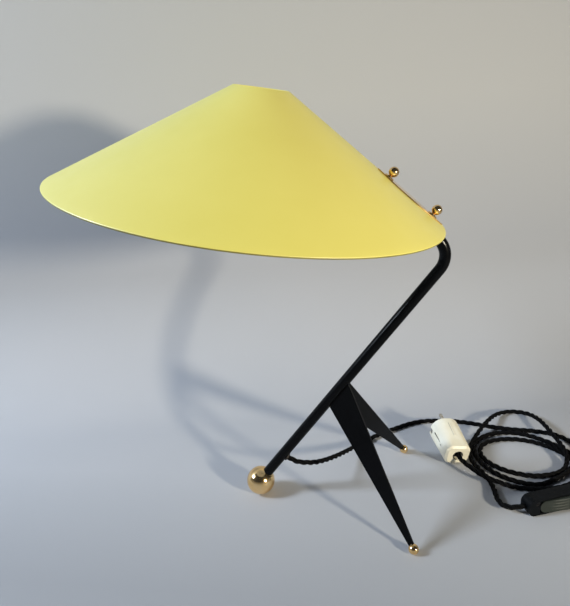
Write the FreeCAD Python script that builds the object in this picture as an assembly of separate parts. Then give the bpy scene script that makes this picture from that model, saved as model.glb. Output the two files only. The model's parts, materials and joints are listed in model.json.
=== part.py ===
import FreeCAD, Part
import os
from math import acos, asin, atan2, cos, degrees, hypot, pi, radians, sin, sqrt, tan

# Tripod table lamp: a bent steel tube on three brass balls, two sheet steel legs, and a spun
# sheet cone that two ball-headed screws clamp to the tube. Millimetres, +Z up. X runs from the
# big foot ball towards the bend, the lamp is alike on both sides of the plane Y = 0, and the
# origin is on the floor under the middle of the lamp without its cord.

V = FreeCAD.Vector

# ---------------------------------------------------------------- driving dimensions
shade_diameter = 400.0          # over the rolled hem
shade_top_diameter = 54.0       # open top of the cone
shade_height = 108.3            # hem plane to top edge, along the cone's axis
shade_sheet = 1.0
shade_tilt = 10.6               # degrees, lower towards the bend
hem_radius = 1.3                # rolled hem, outer radius of its section
bend_overhang = 7.0             # how far the bend stands out past the hem

tube_diameter = 12.0
tube_wall = 1.0
bend_radius = 24.0              # to the tube's axis
holder_bend_radius = 24.0
foot_ball_diameter = 34.0
foot_ball_inset = 13.7          # ball centre, this far left of the shade's centre
seat_height = 12.4              # tube axis to the outer face of the sheet above it
tube_socket_depth = 8.0         # how far the tube stops short of the big ball's centre

foot_diameter = 11.0            # the two small foot balls
foot_reach = 177.4              # big ball centre to the small balls' line, along X
foot_spread = 184.0             # between the small balls' centres
leg_base_start = 137.5          # along the tube, from the big ball's centre
leg_base_length = 36.0
leg_tip_width = 5.4
leg_sheet = 2.5
leg_tip_gap = 2.6               # leg tip to the small ball's centre
leg_corner = 3.0                # rounded upper corner of a leg

plate_length = 84.0
plate_width = 22.0
plate_sheet = 1.2
plate_tip_width = 1.6
knob_spacing = 57.4
knob_from_hem = 18.6            # lower knob, along the slope from the hem
knob_diameter = 10.4
knob_neck_radius = 2.4
knob_neck_length = 0.8
knob_shank_radius = 1.95
washer_radius = 5.2
washer_thickness = 1.2
post_radius = 5.0
post_flange_radius = 7.0
post_flange_thickness = 1.2
shade_gap = 0.2                 # flange to the sheet above it, which is curved

tube_past_knob = 9.0            # upper knob to the start of the bend at the lampholder
tube_end_straight = 9.0
nipple_length = 18.0
nipple_wall = 1.3
nipple_stand = 6.0              # nipple left showing between tube end and cap
cap_overlap = 0.9               # the cap's radius, past the body's
cap_length = 24.0
holder_radius = 18.6
holder_length = 30.0
holder_wall = 1.8
insert_thickness = 9.0
thread_sleeve_inner = 13.4
thread_sleeve_wall = 0.5
thread_sleeve_length = 24.0
bulb_cap_radius = 13.1
bulb_cap_length = 24.0
bulb_radius = 30.0
bulb_length = 82.0              # glass, from the cap's edge to the crown
bulb_glass_wall = 0.8

cord_diameter = 6.4
cord_floor_gap = 0.2
cord_sides = 10                 # flats round a cord's section
flex_radius = 2.6               # the same flex, squeezed together inside the tube
cord_hole_at = 49.0             # along the tube, from the big ball's centre
cord_hole_radius = 4.3
bush_wall = 0.9
bush_flange = 0.8

switch_length = 78.0
switch_height = 20.0
switch_depth = 16.0
switch_wall = 1.8
switch_split = 8.5              # depth of the rear half
switch_turn = 20.6              # degrees, about Z
rocker_length = 48.0
rocker_margin = 2.5             # body left above and below the rocker
rocker_thickness = 7.0
rocker_stand = 3.2
rocker_tilt = 5.0               # degrees, each side of level
rocker_pin_radius = 1.2

plug_length = 44.0              # cover, without the pin carrier
plug_front_width = 38.0
plug_front_height = 36.0
plug_rear_width = 32.0
plug_rear_height = 27.0
plug_carrier = 8.0
plug_wall = 3.0
plug_turn = 13.8                # degrees, about Z
plug_nose_up = 9.0              # degrees
plug_roll = 8.0                 # degrees, about its own axis
pin_radius = 2.4
pin_length = 19.0
pin_root_radius = 2.0
pin_chamfer = 1.0
pin_spacing = 19.0
plug_hole_radius = 6.8

fit = 0.05                      # radial clearance of a close fit
seat = 0.1                      # gap between two faces that rest on each other

# ---------------------------------------------------------------- lamp geometry
cap_radius = holder_radius + cap_overlap
rocker_width = switch_height - 2 * rocker_margin

tube_radius = tube_diameter / 2
foot_ball_radius = foot_ball_diameter / 2
foot_radius = foot_diameter / 2
cord_radius = cord_diameter / 2
cord_z = cord_radius + cord_floor_gap

tilt = radians(shade_tilt)
hem_centre_radius = shade_diameter / 2 - hem_radius
shade_half_x = hem_centre_radius * cos(tilt) + hem_radius
shade_x = -bend_overhang / 2
bend_right = shade_half_x + bend_overhang / 2
bend_x = bend_right - tube_radius - bend_radius

ball_centre = V(shade_x - foot_ball_inset, 0, foot_ball_radius)
cone_angle = atan2(shade_height, (shade_diameter - shade_top_diameter) / 2)
slope = cone_angle + tilt


def stem_geometry():
    """Angle of the straight tube and height of the bend's centre."""
    angle = radians(52.1)
    rise = (bend_radius + sin(angle) * (bend_x - ball_centre.x)) / cos(angle)
    return angle, ball_centre.z + rise


stem_angle, bend_z = stem_geometry()
stem_dir = V(cos(stem_angle), 0, sin(stem_angle))
stem_under = V(sin(stem_angle), 0, -cos(stem_angle))
slope_dir = V(-cos(slope), 0, sin(slope))
slope_normal = V(sin(slope), 0, cos(slope))
holder_dir = V(-cos(tilt), 0, sin(tilt))
bend_centre = V(bend_x, 0, bend_z)
upper_start = bend_centre + slope_normal * bend_radius

# The hem's end of the sheet's outer face, straight above the tube's upper run.
hem_offset = shade_diameter / 2 * cos(tilt)
hem_right_x = shade_x + hem_offset
hem_right_z = upper_start.z + (seat_height - (hem_right_x - upper_start.x) * sin(slope)) / cos(slope)
hem_right = V(hem_right_x, 0, hem_right_z)
shade_centre = V(shade_x, 0, hem_right_z + shade_diameter / 2 * sin(tilt))
shade_axis = V(sin(tilt), 0, cos(tilt))


def frame(origin, z_dir, x_hint):
    """Placement that carries the local Z axis to z_dir and local X near x_hint."""
    z_axis = V(z_dir).normalize()
    y_axis = z_axis.cross(x_hint).normalize()
    x_axis = y_axis.cross(z_axis)
    return FreeCAD.Placement(origin, FreeCAD.Rotation(x_axis, y_axis, z_axis, "ZXY"))


def placed(shape, placement):
    copy = shape.copy()
    copy.Placement = placement.multiply(copy.Placement)
    return copy


def cylinder(radius, length, start=0.0):
    return Part.makeCylinder(radius, length, V(0, 0, start))


def polygon_wire(points):
    return Part.Wire([Part.LineSegment(a, b).toShape() for a, b in zip(points, points[1:] + points[:1])])


def turned(profile):
    """Solid of revolution about local Z from (radius, height) corners."""
    face = Part.Face(polygon_wire([V(r, 0, z) for r, z in profile]))
    return face.revolve(V(0, 0, 0), V(0, 0, 1), 360)


def rounded_rectangle(width, height, corner, level):
    """Closed wire in a plane of constant Z, with four round corners."""
    x, y, r = width / 2, height / 2, corner
    k = r * (1 - sqrt(0.5))
    edges = []
    for sx, sy, cx, cy in ((1, -1, 1, 1), (1, 1, -1, 1), (-1, 1, -1, -1), (-1, -1, 1, -1)):
        corner_point = V(sx * x, sy * y, level)
        if sx * sy < 0:
            a = corner_point + V(-sx * r, 0, 0)
            b = corner_point + V(0, -sy * r, 0)
        else:
            a = corner_point + V(0, -sy * r, 0)
            b = corner_point + V(-sx * r, 0, 0)
        middle = corner_point + V(-sx * k, -sy * k, 0)
        edges.append((a, middle, b))
    wire = []
    for index, (a, middle, b) in enumerate(edges):
        wire.append(Part.Arc(a, middle, b).toShape())
        following = edges[(index + 1) % 4][0]
        wire.append(Part.LineSegment(b, following).toShape())
    return Part.Wire(wire)


def swept(path, radius, start_dir):
    """Round bar along a path, from its first point."""
    start = path.Vertexes[0].Point
    ring = Part.Wire(Part.Circle(start, start_dir, radius).toShape())
    return path.makePipeShell([ring], True, False)


def cord_swept(path, radius, start_dir):
    """Cord along a path: a bar of many flats, which touches the round one at its edges."""
    place = frame(path.Vertexes[0].Point, start_dir, V(0, 0, 1) if abs(start_dir.z) < 0.9 else V(0, 1, 0))
    turns = [2 * pi * side / cord_sides for side in range(cord_sides)]
    corners = [place.multVec(V(radius * cos(turn), radius * sin(turn), 0)) for turn in turns]
    return path.makePipeShell([polygon_wire(corners)], True, False)


def cord_section(radius):
    return cord_sides / 2 * radius ** 2 * sin(2 * pi / cord_sides)


def arc_from_tangent(start, direction, end):
    """Arc that leaves start along direction and reaches end."""
    chord = end - start
    along = chord.dot(direction)
    side = chord - direction * along
    if side.Length < 1e-7:
        return Part.LineSegment(start, end).toShape()
    half = atan2(side.Length, along) / 2
    side_dir = V(side).normalize()
    middle = start + direction * (chord.Length / 2) + side_dir * (chord.Length / 2 * tan(half))
    return Part.Arc(start, middle, end).toShape()


# ---------------------------------------------------------------- stem
def stem_points():
    """Axis of the tube: corner points and the middles of its two bends."""
    low = ball_centre + stem_dir * tube_socket_depth
    bend_in = bend_centre + stem_under * bend_radius
    middle = bend_centre + (stem_under + slope_normal).normalize() * bend_radius
    upper_knob_along = (knob_foot(1) - upper_start).dot(slope_dir)
    bend_out = upper_start + slope_dir * (upper_knob_along + tube_past_knob)
    second = bend_out - slope_normal * holder_bend_radius
    end_normal = V(sin(tilt), 0, cos(tilt))
    second_middle = second + (slope_normal + end_normal).normalize() * holder_bend_radius
    second_end = second + end_normal * holder_bend_radius
    end = second_end + holder_dir * tube_end_straight
    return low, bend_in, middle, bend_out, second_middle, second_end, end


def knob_foot(index):
    """Where a knob's axis meets the sheet's outer face: 0 is the lower, 1 the upper."""
    return hem_right + slope_dir * (knob_from_hem + index * knob_spacing)


def stem_path(start_offset=0.0, end_offset=0.0):
    low, bend_in, middle, bend_out, second_middle, second_end, end = stem_points()
    start = low + stem_dir * start_offset
    finish = end + holder_dir * end_offset
    return Part.Wire([
        Part.LineSegment(start, bend_in).toShape(),
        Part.Arc(bend_in, middle, upper_start).toShape(),
        Part.LineSegment(upper_start, bend_out).toShape(),
        Part.Arc(bend_out, second_middle, second_end).toShape(),
        Part.LineSegment(second_end, finish).toShape(),
    ])


cord_exit = ball_centre + stem_dir * cord_hole_at + stem_under * tube_radius
stem_end = stem_points()[-1]


def make_stem():
    path = stem_path()
    tube = swept(path, tube_radius, stem_dir).cut(swept(path, tube_radius - tube_wall, stem_dir))
    hole = placed(cylinder(cord_hole_radius, tube_diameter), frame(cord_exit - stem_under * tube_radius,
                                                                   stem_under, V(0, 1, 0)))
    tube = tube.cut(hole)
    for index in (0, 1):
        foot = knob_foot(index) - slope_normal * seat_height
        tube = tube.cut(placed(cylinder(knob_shank_radius + fit, tube_diameter),
                               frame(foot, slope_normal, V(0, 1, 0))))
    return tube


def make_foot_ball():
    ball = Part.makeSphere(foot_ball_radius, ball_centre)
    along = frame(ball_centre, stem_dir, V(0, 1, 0))
    ball = ball.cut(placed(cylinder(tube_radius + fit, foot_ball_radius, tube_socket_depth), along))
    return ball.cut(placed(cylinder(stud_radius + fit, foot_ball_radius, -stud_depth), along))


stud_radius = 2.5
stud_depth = 7.0
stud_head_length = 12.0


def make_stem_stud():
    """Turned plug in the tube's lower end with the threaded stud that holds the big ball."""
    bore = tube_radius - tube_wall - fit
    head_start = tube_socket_depth + seat
    profile = [(0, seat - stud_depth), (stud_radius, seat - stud_depth), (stud_radius, head_start),
               (bore, head_start), (bore, head_start + stud_head_length), (0, head_start + stud_head_length)]
    return placed(turned(profile), frame(ball_centre, stem_dir, V(0, 1, 0)))


# ---------------------------------------------------------------- legs
def leg_frame(side):
    """Foot centre and the leg plane's two directions: along the tube and away from it."""
    foot = V(ball_centre.x + foot_reach, side * foot_spread / 2, foot_radius)
    offset = foot - ball_centre
    along = offset.dot(stem_dir)
    away = offset - stem_dir * along
    reach = away.Length
    return foot, along, reach, away.normalize()


def leg_outline(side, allowance=0.0):
    foot, along, reach, away = leg_frame(side)
    base = tube_radius + seat
    low = V(leg_base_start, base, 0)
    high = V(leg_base_start + leg_base_length, base, 0)
    centre = V(along, reach, 0)
    middle = (low + high) * 0.5
    run = (centre - middle).normalize()
    across = V(-run.y, run.x, 0)
    tip = centre - run * (leg_tip_gap - allowance)
    half = leg_tip_width / 2 + allowance
    corners = [low, high, tip - across * half, tip + across * half]
    if (corners[2] - high).Length > (corners[3] - high).Length:
        corners[2], corners[3] = corners[3], corners[2]
    return [ball_centre + stem_dir * p.x + away * p.y for p in corners]


def leg_solid(side, allowance=0.0):
    corners = leg_outline(side, allowance)
    low, high, tip_high, tip_low = corners
    to_tip = (tip_high - high).normalize()
    to_low = (low - high).normalize()
    start = high + to_low * leg_corner
    finish = high + to_tip * leg_corner
    bow = high + (to_tip + to_low) * (leg_corner * 0.28)
    edges = [
        Part.LineSegment(low, start).toShape(),
        Part.Arc(start, bow, finish).toShape(),
        Part.LineSegment(finish, tip_high).toShape(),
        Part.LineSegment(tip_high, tip_low).toShape(),
        Part.LineSegment(tip_low, low).toShape(),
    ]
    face = Part.Face(Part.Wire(edges))
    normal = face.normalAt(0, 0)
    thickness = leg_sheet + 2 * allowance
    face.translate(normal * (-thickness / 2))
    return face.extrude(normal * thickness)


def make_foot(side):
    """Small brass ball, slotted for the leg's tip."""
    foot = leg_frame(side)[0]
    return Part.makeSphere(foot_radius, foot).cut(leg_solid(side, fit))


# ---------------------------------------------------------------- shade and its clamp
def cone_point(radius, height):
    return V(radius, 0, height)


def make_shade():
    """Spun cone with a rolled hem and a plain cut top edge, about its own axis."""
    top_radius = shade_top_diameter / 2
    normal = V(sin(cone_angle), 0, cos(cone_angle))
    run = V(-cos(cone_angle), 0, sin(cone_angle))
    outer_low = cone_point(shade_diameter / 2, 0)
    length = shade_height / sin(cone_angle)
    start = outer_low + run * (1.5 * hem_radius)
    finish = outer_low + run * length
    corners = [start, finish, finish - normal * shade_sheet, start - normal * shade_sheet]
    cone = Part.Face(polygon_wire(corners)).revolve(V(0, 0, 0), V(0, 0, 1), 360)
    bead = Part.makeTorus(hem_centre_radius, hem_radius, V(0, 0, hem_radius), V(0, 0, 1))
    shell = cone.fuse(bead)
    placement = frame(shade_centre, shade_axis, V(0, 1, 0))
    shell = placed(shell, placement)
    for index in (0, 1):
        shell = shell.cut(placed(cylinder(knob_shank_radius + 4 * fit, 4 * shade_sheet, -2 * shade_sheet),
                                 frame(knob_foot(index), slope_normal, V(0, 1, 0))))
    return shell.removeSplitter()


def make_clamp_plate():
    """Leaf-shaped brass plate along the sheet's slope, drilled for the two screws."""
    middle = hem_right + slope_dir * (knob_from_hem + knob_spacing / 2) + slope_normal * seat
    across = V(0, 1, 0)
    half = plate_length / 2
    tip = plate_tip_width / 2
    corners = [middle + slope_dir * (sx * half) + across * (sy * tip)
               for sx, sy in ((-1, -1), (1, -1), (1, 1), (-1, 1))]
    bulges = [middle - across * (plate_width / 2), middle + across * (plate_width / 2)]
    edges = [
        Part.Arc(corners[0], bulges[0], corners[1]).toShape(),
        Part.Arc(corners[1], middle + slope_dir * (half + tip), corners[2]).toShape(),
        Part.Arc(corners[2], bulges[1], corners[3]).toShape(),
        Part.Arc(corners[3], middle - slope_dir * (half + tip), corners[0]).toShape(),
    ]
    plate = Part.Face(Part.Wire(edges)).extrude(slope_normal * plate_sheet)
    for index in (0, 1):
        plate = plate.cut(placed(cylinder(knob_shank_radius + 4 * fit, 4 * plate_sheet, -plate_sheet),
                                 frame(knob_foot(index), slope_normal, V(0, 1, 0))))
    return plate


def knob_frame(index):
    return frame(knob_foot(index), slope_normal, V(0, 1, 0))


washer_level = plate_sheet + 2 * seat
knob_level = washer_level + washer_thickness + seat


def make_washer(index):
    """Dished washer between plate and ball."""
    inner = knob_shank_radius + 4 * fit
    edge = washer_thickness / 2
    top = washer_level + washer_thickness
    profile = [(inner, washer_level), (washer_radius, washer_level), (washer_radius, washer_level + edge),
               (washer_radius - edge, top), (inner, top)]
    return placed(turned(profile), knob_frame(index))


def make_knob(index):
    """Ball-headed screw: ball, waisted neck and the threaded shank that enters the tube's wall."""
    radius = knob_diameter / 2
    ball_level = knob_level + knob_neck_length + sqrt(radius ** 2 - knob_neck_radius ** 2)
    ball = Part.makeSphere(radius, V(0, 0, ball_level))
    neck = cylinder(knob_neck_radius, ball_level - knob_level, knob_level)
    shank_end = -seat_height + tube_radius - tube_wall + 0.2
    shank = cylinder(knob_shank_radius, ball_level - shank_end, shank_end)
    return placed(ball.fuse([neck, shank]).removeSplitter(), knob_frame(index))


def make_post(index):
    """Turned spacer welded to the tube, with a flange that the sheet rests on."""
    top = -shade_sheet - shade_gap
    low = -seat_height
    profile = [(knob_shank_radius + fit, low), (post_radius, low),
               (post_radius, top - post_flange_thickness), (post_flange_radius, top - post_flange_thickness),
               (post_flange_radius, top), (knob_shank_radius + fit, top)]
    post = placed(turned(profile), knob_frame(index))
    foot = knob_foot(index) - slope_normal * seat_height
    tube = placed(cylinder(tube_radius + fit, 4 * post_flange_radius, -2 * post_flange_radius),
                  frame(foot, slope_dir, V(0, 1, 0)))
    base = shade_diameter / 2 - (shade_sheet + shade_gap) / sin(cone_angle)
    inner_cone = Part.makeCone(base, 0, base * tan(cone_angle))
    return post.cut(tube).common(placed(inner_cone, frame(shade_centre, shade_axis, V(0, 1, 0))))


# ---------------------------------------------------------------- lampholder and bulb
holder_frame = frame(stem_end, holder_dir, V(0, 1, 0))
cap_start = nipple_stand
body_start = cap_start + cap_length
insert_start = cap_start + 13.7


def make_nipple():
    outer = tube_radius - tube_wall - fit
    return placed(cylinder(outer, nipple_length, nipple_stand + 4.0 - nipple_length).cut(
        cylinder(outer - nipple_wall, nipple_length, nipple_stand + 4.0 - nipple_length)), holder_frame)


def make_holder_cap():
    """Domed cap with a neck, tapped for the nipple."""
    bore = tube_radius - tube_wall
    wall = holder_wall
    neck = bore + 2.0
    profile = [(bore, cap_start), (neck, cap_start), (neck, cap_start + 4.0), (cap_radius - 5.0, cap_start + 7.0),
               (cap_radius, cap_start + 13.0), (cap_radius, body_start + 3.0),
               (cap_radius - wall / 2, body_start + 3.0), (cap_radius - wall / 2, cap_start + 13.6),
               (cap_radius - 5.0 - wall / 2, cap_start + 7.0 + wall),
               (neck, cap_start + 4.0 + wall), (bore, cap_start + 4.0 + wall)]
    return placed(turned(profile), holder_frame)


def make_holder_body():
    """Sleeve round the socket, with a bead at its open end."""
    inner = holder_radius - holder_wall
    end = body_start + holder_length
    outer = cap_radius - holder_wall / 2 - fit
    bead = holder_radius + 1.0
    start = insert_start + insert_thickness + seat
    profile = [(inner, start), (outer, start), (outer, body_start + 3.0 + seat),
               (holder_radius, body_start + 4.0), (holder_radius, end - 3.0), (bead, end - 2.0), (bead, end),
               (inner, end)]
    return placed(turned(profile), holder_frame)


def make_holder_insert():
    """Porcelain disc that carries the contacts and the thread sleeve."""
    outer = cap_radius - holder_wall / 2 - fit
    disc = cylinder(outer - 0.6, insert_thickness, insert_start)
    disc = disc.cut(cylinder(4.0, insert_thickness, insert_start))
    for side in (-1, 1):
        disc = disc.cut(Part.makeCylinder(2.2, insert_thickness, V(side * 11.0, 0, insert_start)))
    return placed(disc, holder_frame)


sleeve_start = insert_start + insert_thickness + seat


def make_thread_sleeve():
    """Rolled brass sleeve of the socket; each roll is a shallow ring."""
    inner = thread_sleeve_inner
    outer = inner + thread_sleeve_wall
    profile = [(inner, sleeve_start), (outer, sleeve_start), (outer, sleeve_start + thread_sleeve_length),
               (inner, sleeve_start + thread_sleeve_length)]
    sleeve = turned(profile)
    floor = cylinder(outer, 0.6, sleeve_start).cut(cylinder(5.5, 0.6, sleeve_start))
    return placed(sleeve.fuse(floor).removeSplitter(), holder_frame)


def make_centre_contact():
    """Rivet in the insert and the springy tongue that touches the bulb."""
    top = insert_start + insert_thickness
    rivet = cylinder(4.0 - fit, insert_thickness + 1.4, insert_start + 0.4)
    bore = cylinder(1.4, 5.0, insert_start + 0.4)
    head = cylinder(4.6, 0.8, top + 1.0)
    rise = bulb_start - top - 1.0 - seat
    arch = [V(-4.0, -2.0, top + 1.4), V(0, -2.0, top + 1.0 + rise), V(4.0, -2.0, top + 1.4)]
    under = [V(3.4, -2.0, top + 1.4), V(0, -2.0, top + 0.4 + rise), V(-3.4, -2.0, top + 1.4)]
    tongue = Part.Face(Part.Wire([
        Part.Arc(*arch).toShape(),
        Part.LineSegment(arch[2], under[0]).toShape(),
        Part.Arc(*under).toShape(),
        Part.LineSegment(under[2], arch[0]).toShape(),
    ])).extrude(V(0, 4.0, 0))
    return placed(rivet.cut(bore).fuse([head, tongue]).removeSplitter(), holder_frame)


def make_terminal_screws():
    """Two terminal screws on the wiring side of the insert."""
    screws = []
    for side in (-1, 1):
        shaft = Part.makeCylinder(2.1, 6.0, V(side * 11.0, 0, insert_start + 0.4))
        head = Part.makeCylinder(3.0, 1.8, V(side * 11.0, 0, insert_start - 1.9))
        neck = Part.makeCylinder(1.6, 1.0, V(side * 11.0, 0, insert_start - 0.4))
        slot = Part.makeBox(7.0, 0.8, 0.8, V(side * 11.0 - 3.5, -0.4, insert_start - 1.9))
        screws.append(placed(shaft.fuse([head, neck]).cut(slot), holder_frame))
    return Part.makeCompound(screws)


bulb_start = sleeve_start + 6.0
glass_start = bulb_start + bulb_cap_length


def make_bulb_cap():
    """Screw cap of the bulb with rounded thread rings, its collar and its black foot."""
    pitch = 4.5
    rings = 4
    profile = [(0, bulb_start), (4.6, bulb_start), (4.6, bulb_start + 1.0), (10.0, bulb_start + 4.0),
               (12.4, bulb_start + 4.2)]
    for ring in range(rings):
        level = bulb_start + 4.6 + ring * pitch
        profile += [(bulb_cap_radius - 0.7, level), (bulb_cap_radius, level + 1.6),
                    (bulb_cap_radius - 0.7, level + 3.2)]
    profile += [(bulb_cap_radius - 0.7, glass_start), (0, glass_start)]
    return placed(turned(profile), holder_frame)


def bulb_profile(radius, inset):
    """Outline of the glass from the cap to the crown, as edges in the local XZ plane."""
    neck = 12.6 - inset
    crown = glass_start + bulb_length - inset
    centre = glass_start + bulb_length - bulb_radius
    tangent = radians(35)
    shoulder = V(radius * cos(tangent), 0, centre - radius * sin(tangent))
    neck_end = V(neck, 0, glass_start + seat + inset)
    flare = V(neck + (shoulder.x - neck) * 0.36, 0, (neck_end.z + shoulder.z) / 2)
    return [
        Part.LineSegment(V(0, 0, neck_end.z), neck_end).toShape(),
        Part.Arc(neck_end, flare, shoulder).toShape(),
        Part.Arc(shoulder, V(radius, 0, centre), V(0, 0, crown)).toShape(),
        Part.LineSegment(V(0, 0, crown), V(0, 0, neck_end.z)).toShape(),
    ]


def make_bulb_glass():
    outer = Part.Face(Part.Wire(bulb_profile(bulb_radius, 0.0))).revolve(V(0, 0, 0), V(0, 0, 1), 360)
    inner = Part.Face(Part.Wire(bulb_profile(bulb_radius - bulb_glass_wall, bulb_glass_wall))).revolve(
        V(0, 0, 0), V(0, 0, 1), 360)
    return placed(outer.cut(inner), holder_frame)


# ---------------------------------------------------------------- cord
def make_bush():
    """Moulded bush that lines the cord's hole in the tube."""
    inner = cord_hole_radius - bush_wall
    flange_radius = cord_hole_radius + 0.7
    place = frame(cord_exit - stem_under * tube_radius, stem_under, V(0, 1, 0))
    sleeve = cylinder(cord_hole_radius - fit, tube_wall + bush_flange, tube_radius - tube_wall)
    flange = cylinder(flange_radius, 1.6, tube_radius - 0.8)
    bush = placed(sleeve.fuse(flange).cut(cylinder(inner, tube_diameter)), place)
    axis = frame(cord_exit - stem_under * tube_radius, stem_dir, V(0, 1, 0))
    outer = placed(cylinder(tube_radius + fit, 40.0, -20.0), axis)
    hole = placed(cylinder(cord_hole_radius - fit, tube_diameter), place)
    return bush.common(outer).common(hole).fuse(bush.cut(outer)).removeSplitter()


def make_inner_flex():
    """The flex inside the tube, from the cord's hole to the lampholder's insert."""
    low = ball_centre + stem_dir * cord_hole_at
    path = stem_path(cord_hole_at - tube_socket_depth, insert_start - 3.0)
    flex = cord_swept(path, flex_radius, stem_dir)
    turn = Part.makeSphere(flex_radius, low)
    branch = placed(cylinder(flex_radius, tube_radius + bush_flange + seat),
                    frame(low, stem_under, V(0, 1, 0)))
    return flex.fuse([turn, branch]).removeSplitter()


def rounded_route(points):
    """Straight runs joined by tangent arcs, each as large as its two runs allow."""
    edges = []
    radii = []
    last = points[0]
    for before, corner, after in zip(points, points[1:], points[2:]):
        run_in = corner - before
        run_out = after - corner
        reach = 0.45 * min(run_in.Length, run_out.Length)
        u, w = V(run_in).normalize(), V(run_out).normalize()
        turn = acos(max(-1.0, min(1.0, u.dot(w))))
        radius = reach / tan(turn / 2)
        start = corner - u * reach
        finish = corner + w * reach
        inward = (w - u).normalize()
        middle = corner + inward * (radius / cos(turn / 2) - radius)
        edges.append(Part.LineSegment(last, start).toShape())
        edges.append(Part.Arc(start, middle, finish).toShape())
        radii.append(radius)
        last = finish
    edges.append(Part.LineSegment(last, points[-1]).toShape())
    return Part.Wire(edges), radii


def cord_tube(name, points):
    path, radii = rounded_route(points)
    tube = cord_swept(path, cord_radius, (points[1] - points[0]).normalize())
    exact = cord_section(cord_radius) * path.Length
    print(f"{name}: length {path.Length:.0f}, volume/section*length {tube.Volume / exact:.4f}, "
          f"radii {[round(r) for r in radii]}")
    return tube


def from_shade(x, y, z):
    """A point of the cord's route, given from under the shade's centre."""
    return V(shade_x + x, y, z)


switch_dir = V(cos(radians(switch_turn)), sin(radians(switch_turn)), 0)
switch_back = V(-sin(radians(switch_turn)), cos(radians(switch_turn)), 0)
switch_z = switch_height / 2 + 0.05
switch_left = from_shade(291.0, -21.2, switch_z)
switch_right = switch_left + switch_dir * switch_length
switch_middle = (switch_left + switch_right) * 0.5

plug_dir = V(-sin(radians(plug_turn)) * cos(radians(plug_nose_up)),
             cos(radians(plug_turn)) * cos(radians(plug_nose_up)), sin(radians(plug_nose_up)))
cord_run_in = 7.8               # cord inside the switch
plug_run_in = 9.0               # cord inside the plug


def lead_route():
    """Lamp to switch, lying on the floor behind the legs and the plug."""
    z = cord_z
    cord_start = cord_exit + stem_under * (bush_flange + seat)
    points = [
        cord_start,
        cord_start + stem_under * 10.0,
        from_shade(41.0, 4, 41.0),
        from_shade(53.9, 13, 35.5),
        from_shade(66.5, 30, 28.5),
        from_shade(80.7, 54, 20.0),
        from_shade(99.3, 92, 7.5),
        from_shade(122, 122, z),
        from_shade(153, 145.5, z),
        from_shade(187, 167, z),
        from_shade(222, 170.5, z),
        from_shade(256, 166.5, z),
        from_shade(286, 156, z),
        from_shade(314, 149.5, z),
        from_shade(346, 147, z),
        from_shade(373, 137.5, z),
        from_shade(390, 112, z),
        from_shade(397, 80, z),
        from_shade(396, 50, z + 0.6),
        from_shade(387, 25, z + 4),
    ]
    points.append(switch_right + switch_dir * 6.0)
    points.append(switch_right - switch_dir * cord_run_in)
    return points


def link_route():
    """Switch to coil: up the coil's left side, one wide loop behind it and down into its inside."""
    z = cord_z
    high = cord_z + cord_diameter + 1.4
    return [
        switch_left + switch_dir * cord_run_in,
        switch_left - switch_dir * 5.0,
        from_shade(275.3, -22.6, 8.6),
        from_shade(266.5, -16.5, 6.8),
        from_shade(261.8, -5.0, 4.8),
        from_shade(263.5, 14, z),
        from_shade(261.5, 38, z),
        from_shade(251.0, 60, z),
        from_shade(247.2, 83, z),
        from_shade(252.0, 106, z + 1.8),
        from_shade(264, 127, z + 6),
        from_shade(276, 147, high),
        from_shade(289.5, 168, high - 0.4),
        from_shade(300.5, 185, z + 3),
        from_shade(316, 198, z),
        from_shade(333, 199.5, z),
        from_shade(347.5, 189.5, z + 2),
        from_shade(354.5, 167.5, high - 1),
        from_shade(359.5, 141, high),
        from_shade(364, 113, high),
        from_shade(366.5, 89, high),
        from_shade(365, 74, z + 3),
        from_shade(358.5, 60.5, z),
        from_shade(346, 50.5, z),
        coil_start() - coil_corners()[0][1] * 13.6,
        coil_start(),
    ]


def tail_route():
    """Coil to plug, over the link where they cross."""
    z = cord_z
    high = cord_z + cord_diameter + 1.4
    return [
        coil_end(),
        coil_end() + coil_corners()[-1][1] * 12.0,
        from_shade(281.5, 18.5, z + 3.6),
        from_shade(269.5, 20, high),
        from_shade(256.5, 27.5, high + 0.3),
        from_shade(245.5, 41, high + 0.8),
        plug_rear - plug_dir * 6.0,
        plug_rear + plug_dir * plug_run_in,
    ]


# The coil: two loose flat loops, the second wider, that end clear of both in front. Each
# corner is a point and the heading of the cord there, in degrees.
coil_loops = 2
coil_turns = [
    (312.0, 44.3, 180), (262.6, 84.0, 90), (312.0, 124.8, 0), (352.5, 109.5, -42), (373.0, 76.0, -90),
    (345.0, 41.5, -152), (303.0, 26.6, 180), (255.4, 84.0, 90), (314.0, 141.0, 0), (352.0, 126.5, -38),
    (381.5, 86.0, -90), (356.0, 31.0, -148), (312.0, 19.5, 180),
]
coil_end_straight = cord_diameter


def coil_corners():
    """Points along the coil with the cord's heading there, clockwise from the near side."""
    corners = []
    for x, y, heading in coil_turns:
        corners.append((from_shade(x, y, cord_z), V(cos(radians(heading)), sin(radians(heading)), 0)))
    return corners


def coil_start():
    point, heading = coil_corners()[0]
    return point - heading * coil_end_straight


def coil_end():
    point, heading = coil_corners()[-1]
    return point + heading * coil_end_straight


def biarc(start, start_dir, end, end_dir):
    """Two tangent arcs from one heading to another."""
    chord = end - start
    total = start_dir + end_dir
    turn = 2 * (1 - start_dir.dot(end_dir))
    reach = (-chord.dot(total) + sqrt(chord.dot(total) ** 2 + turn * chord.dot(chord))) / turn
    joint = (start + start_dir * reach + end - end_dir * reach) * 0.5
    back = arc_from_tangent(end, end_dir * -1, joint)
    return [arc_from_tangent(start, start_dir, joint), back]


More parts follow.
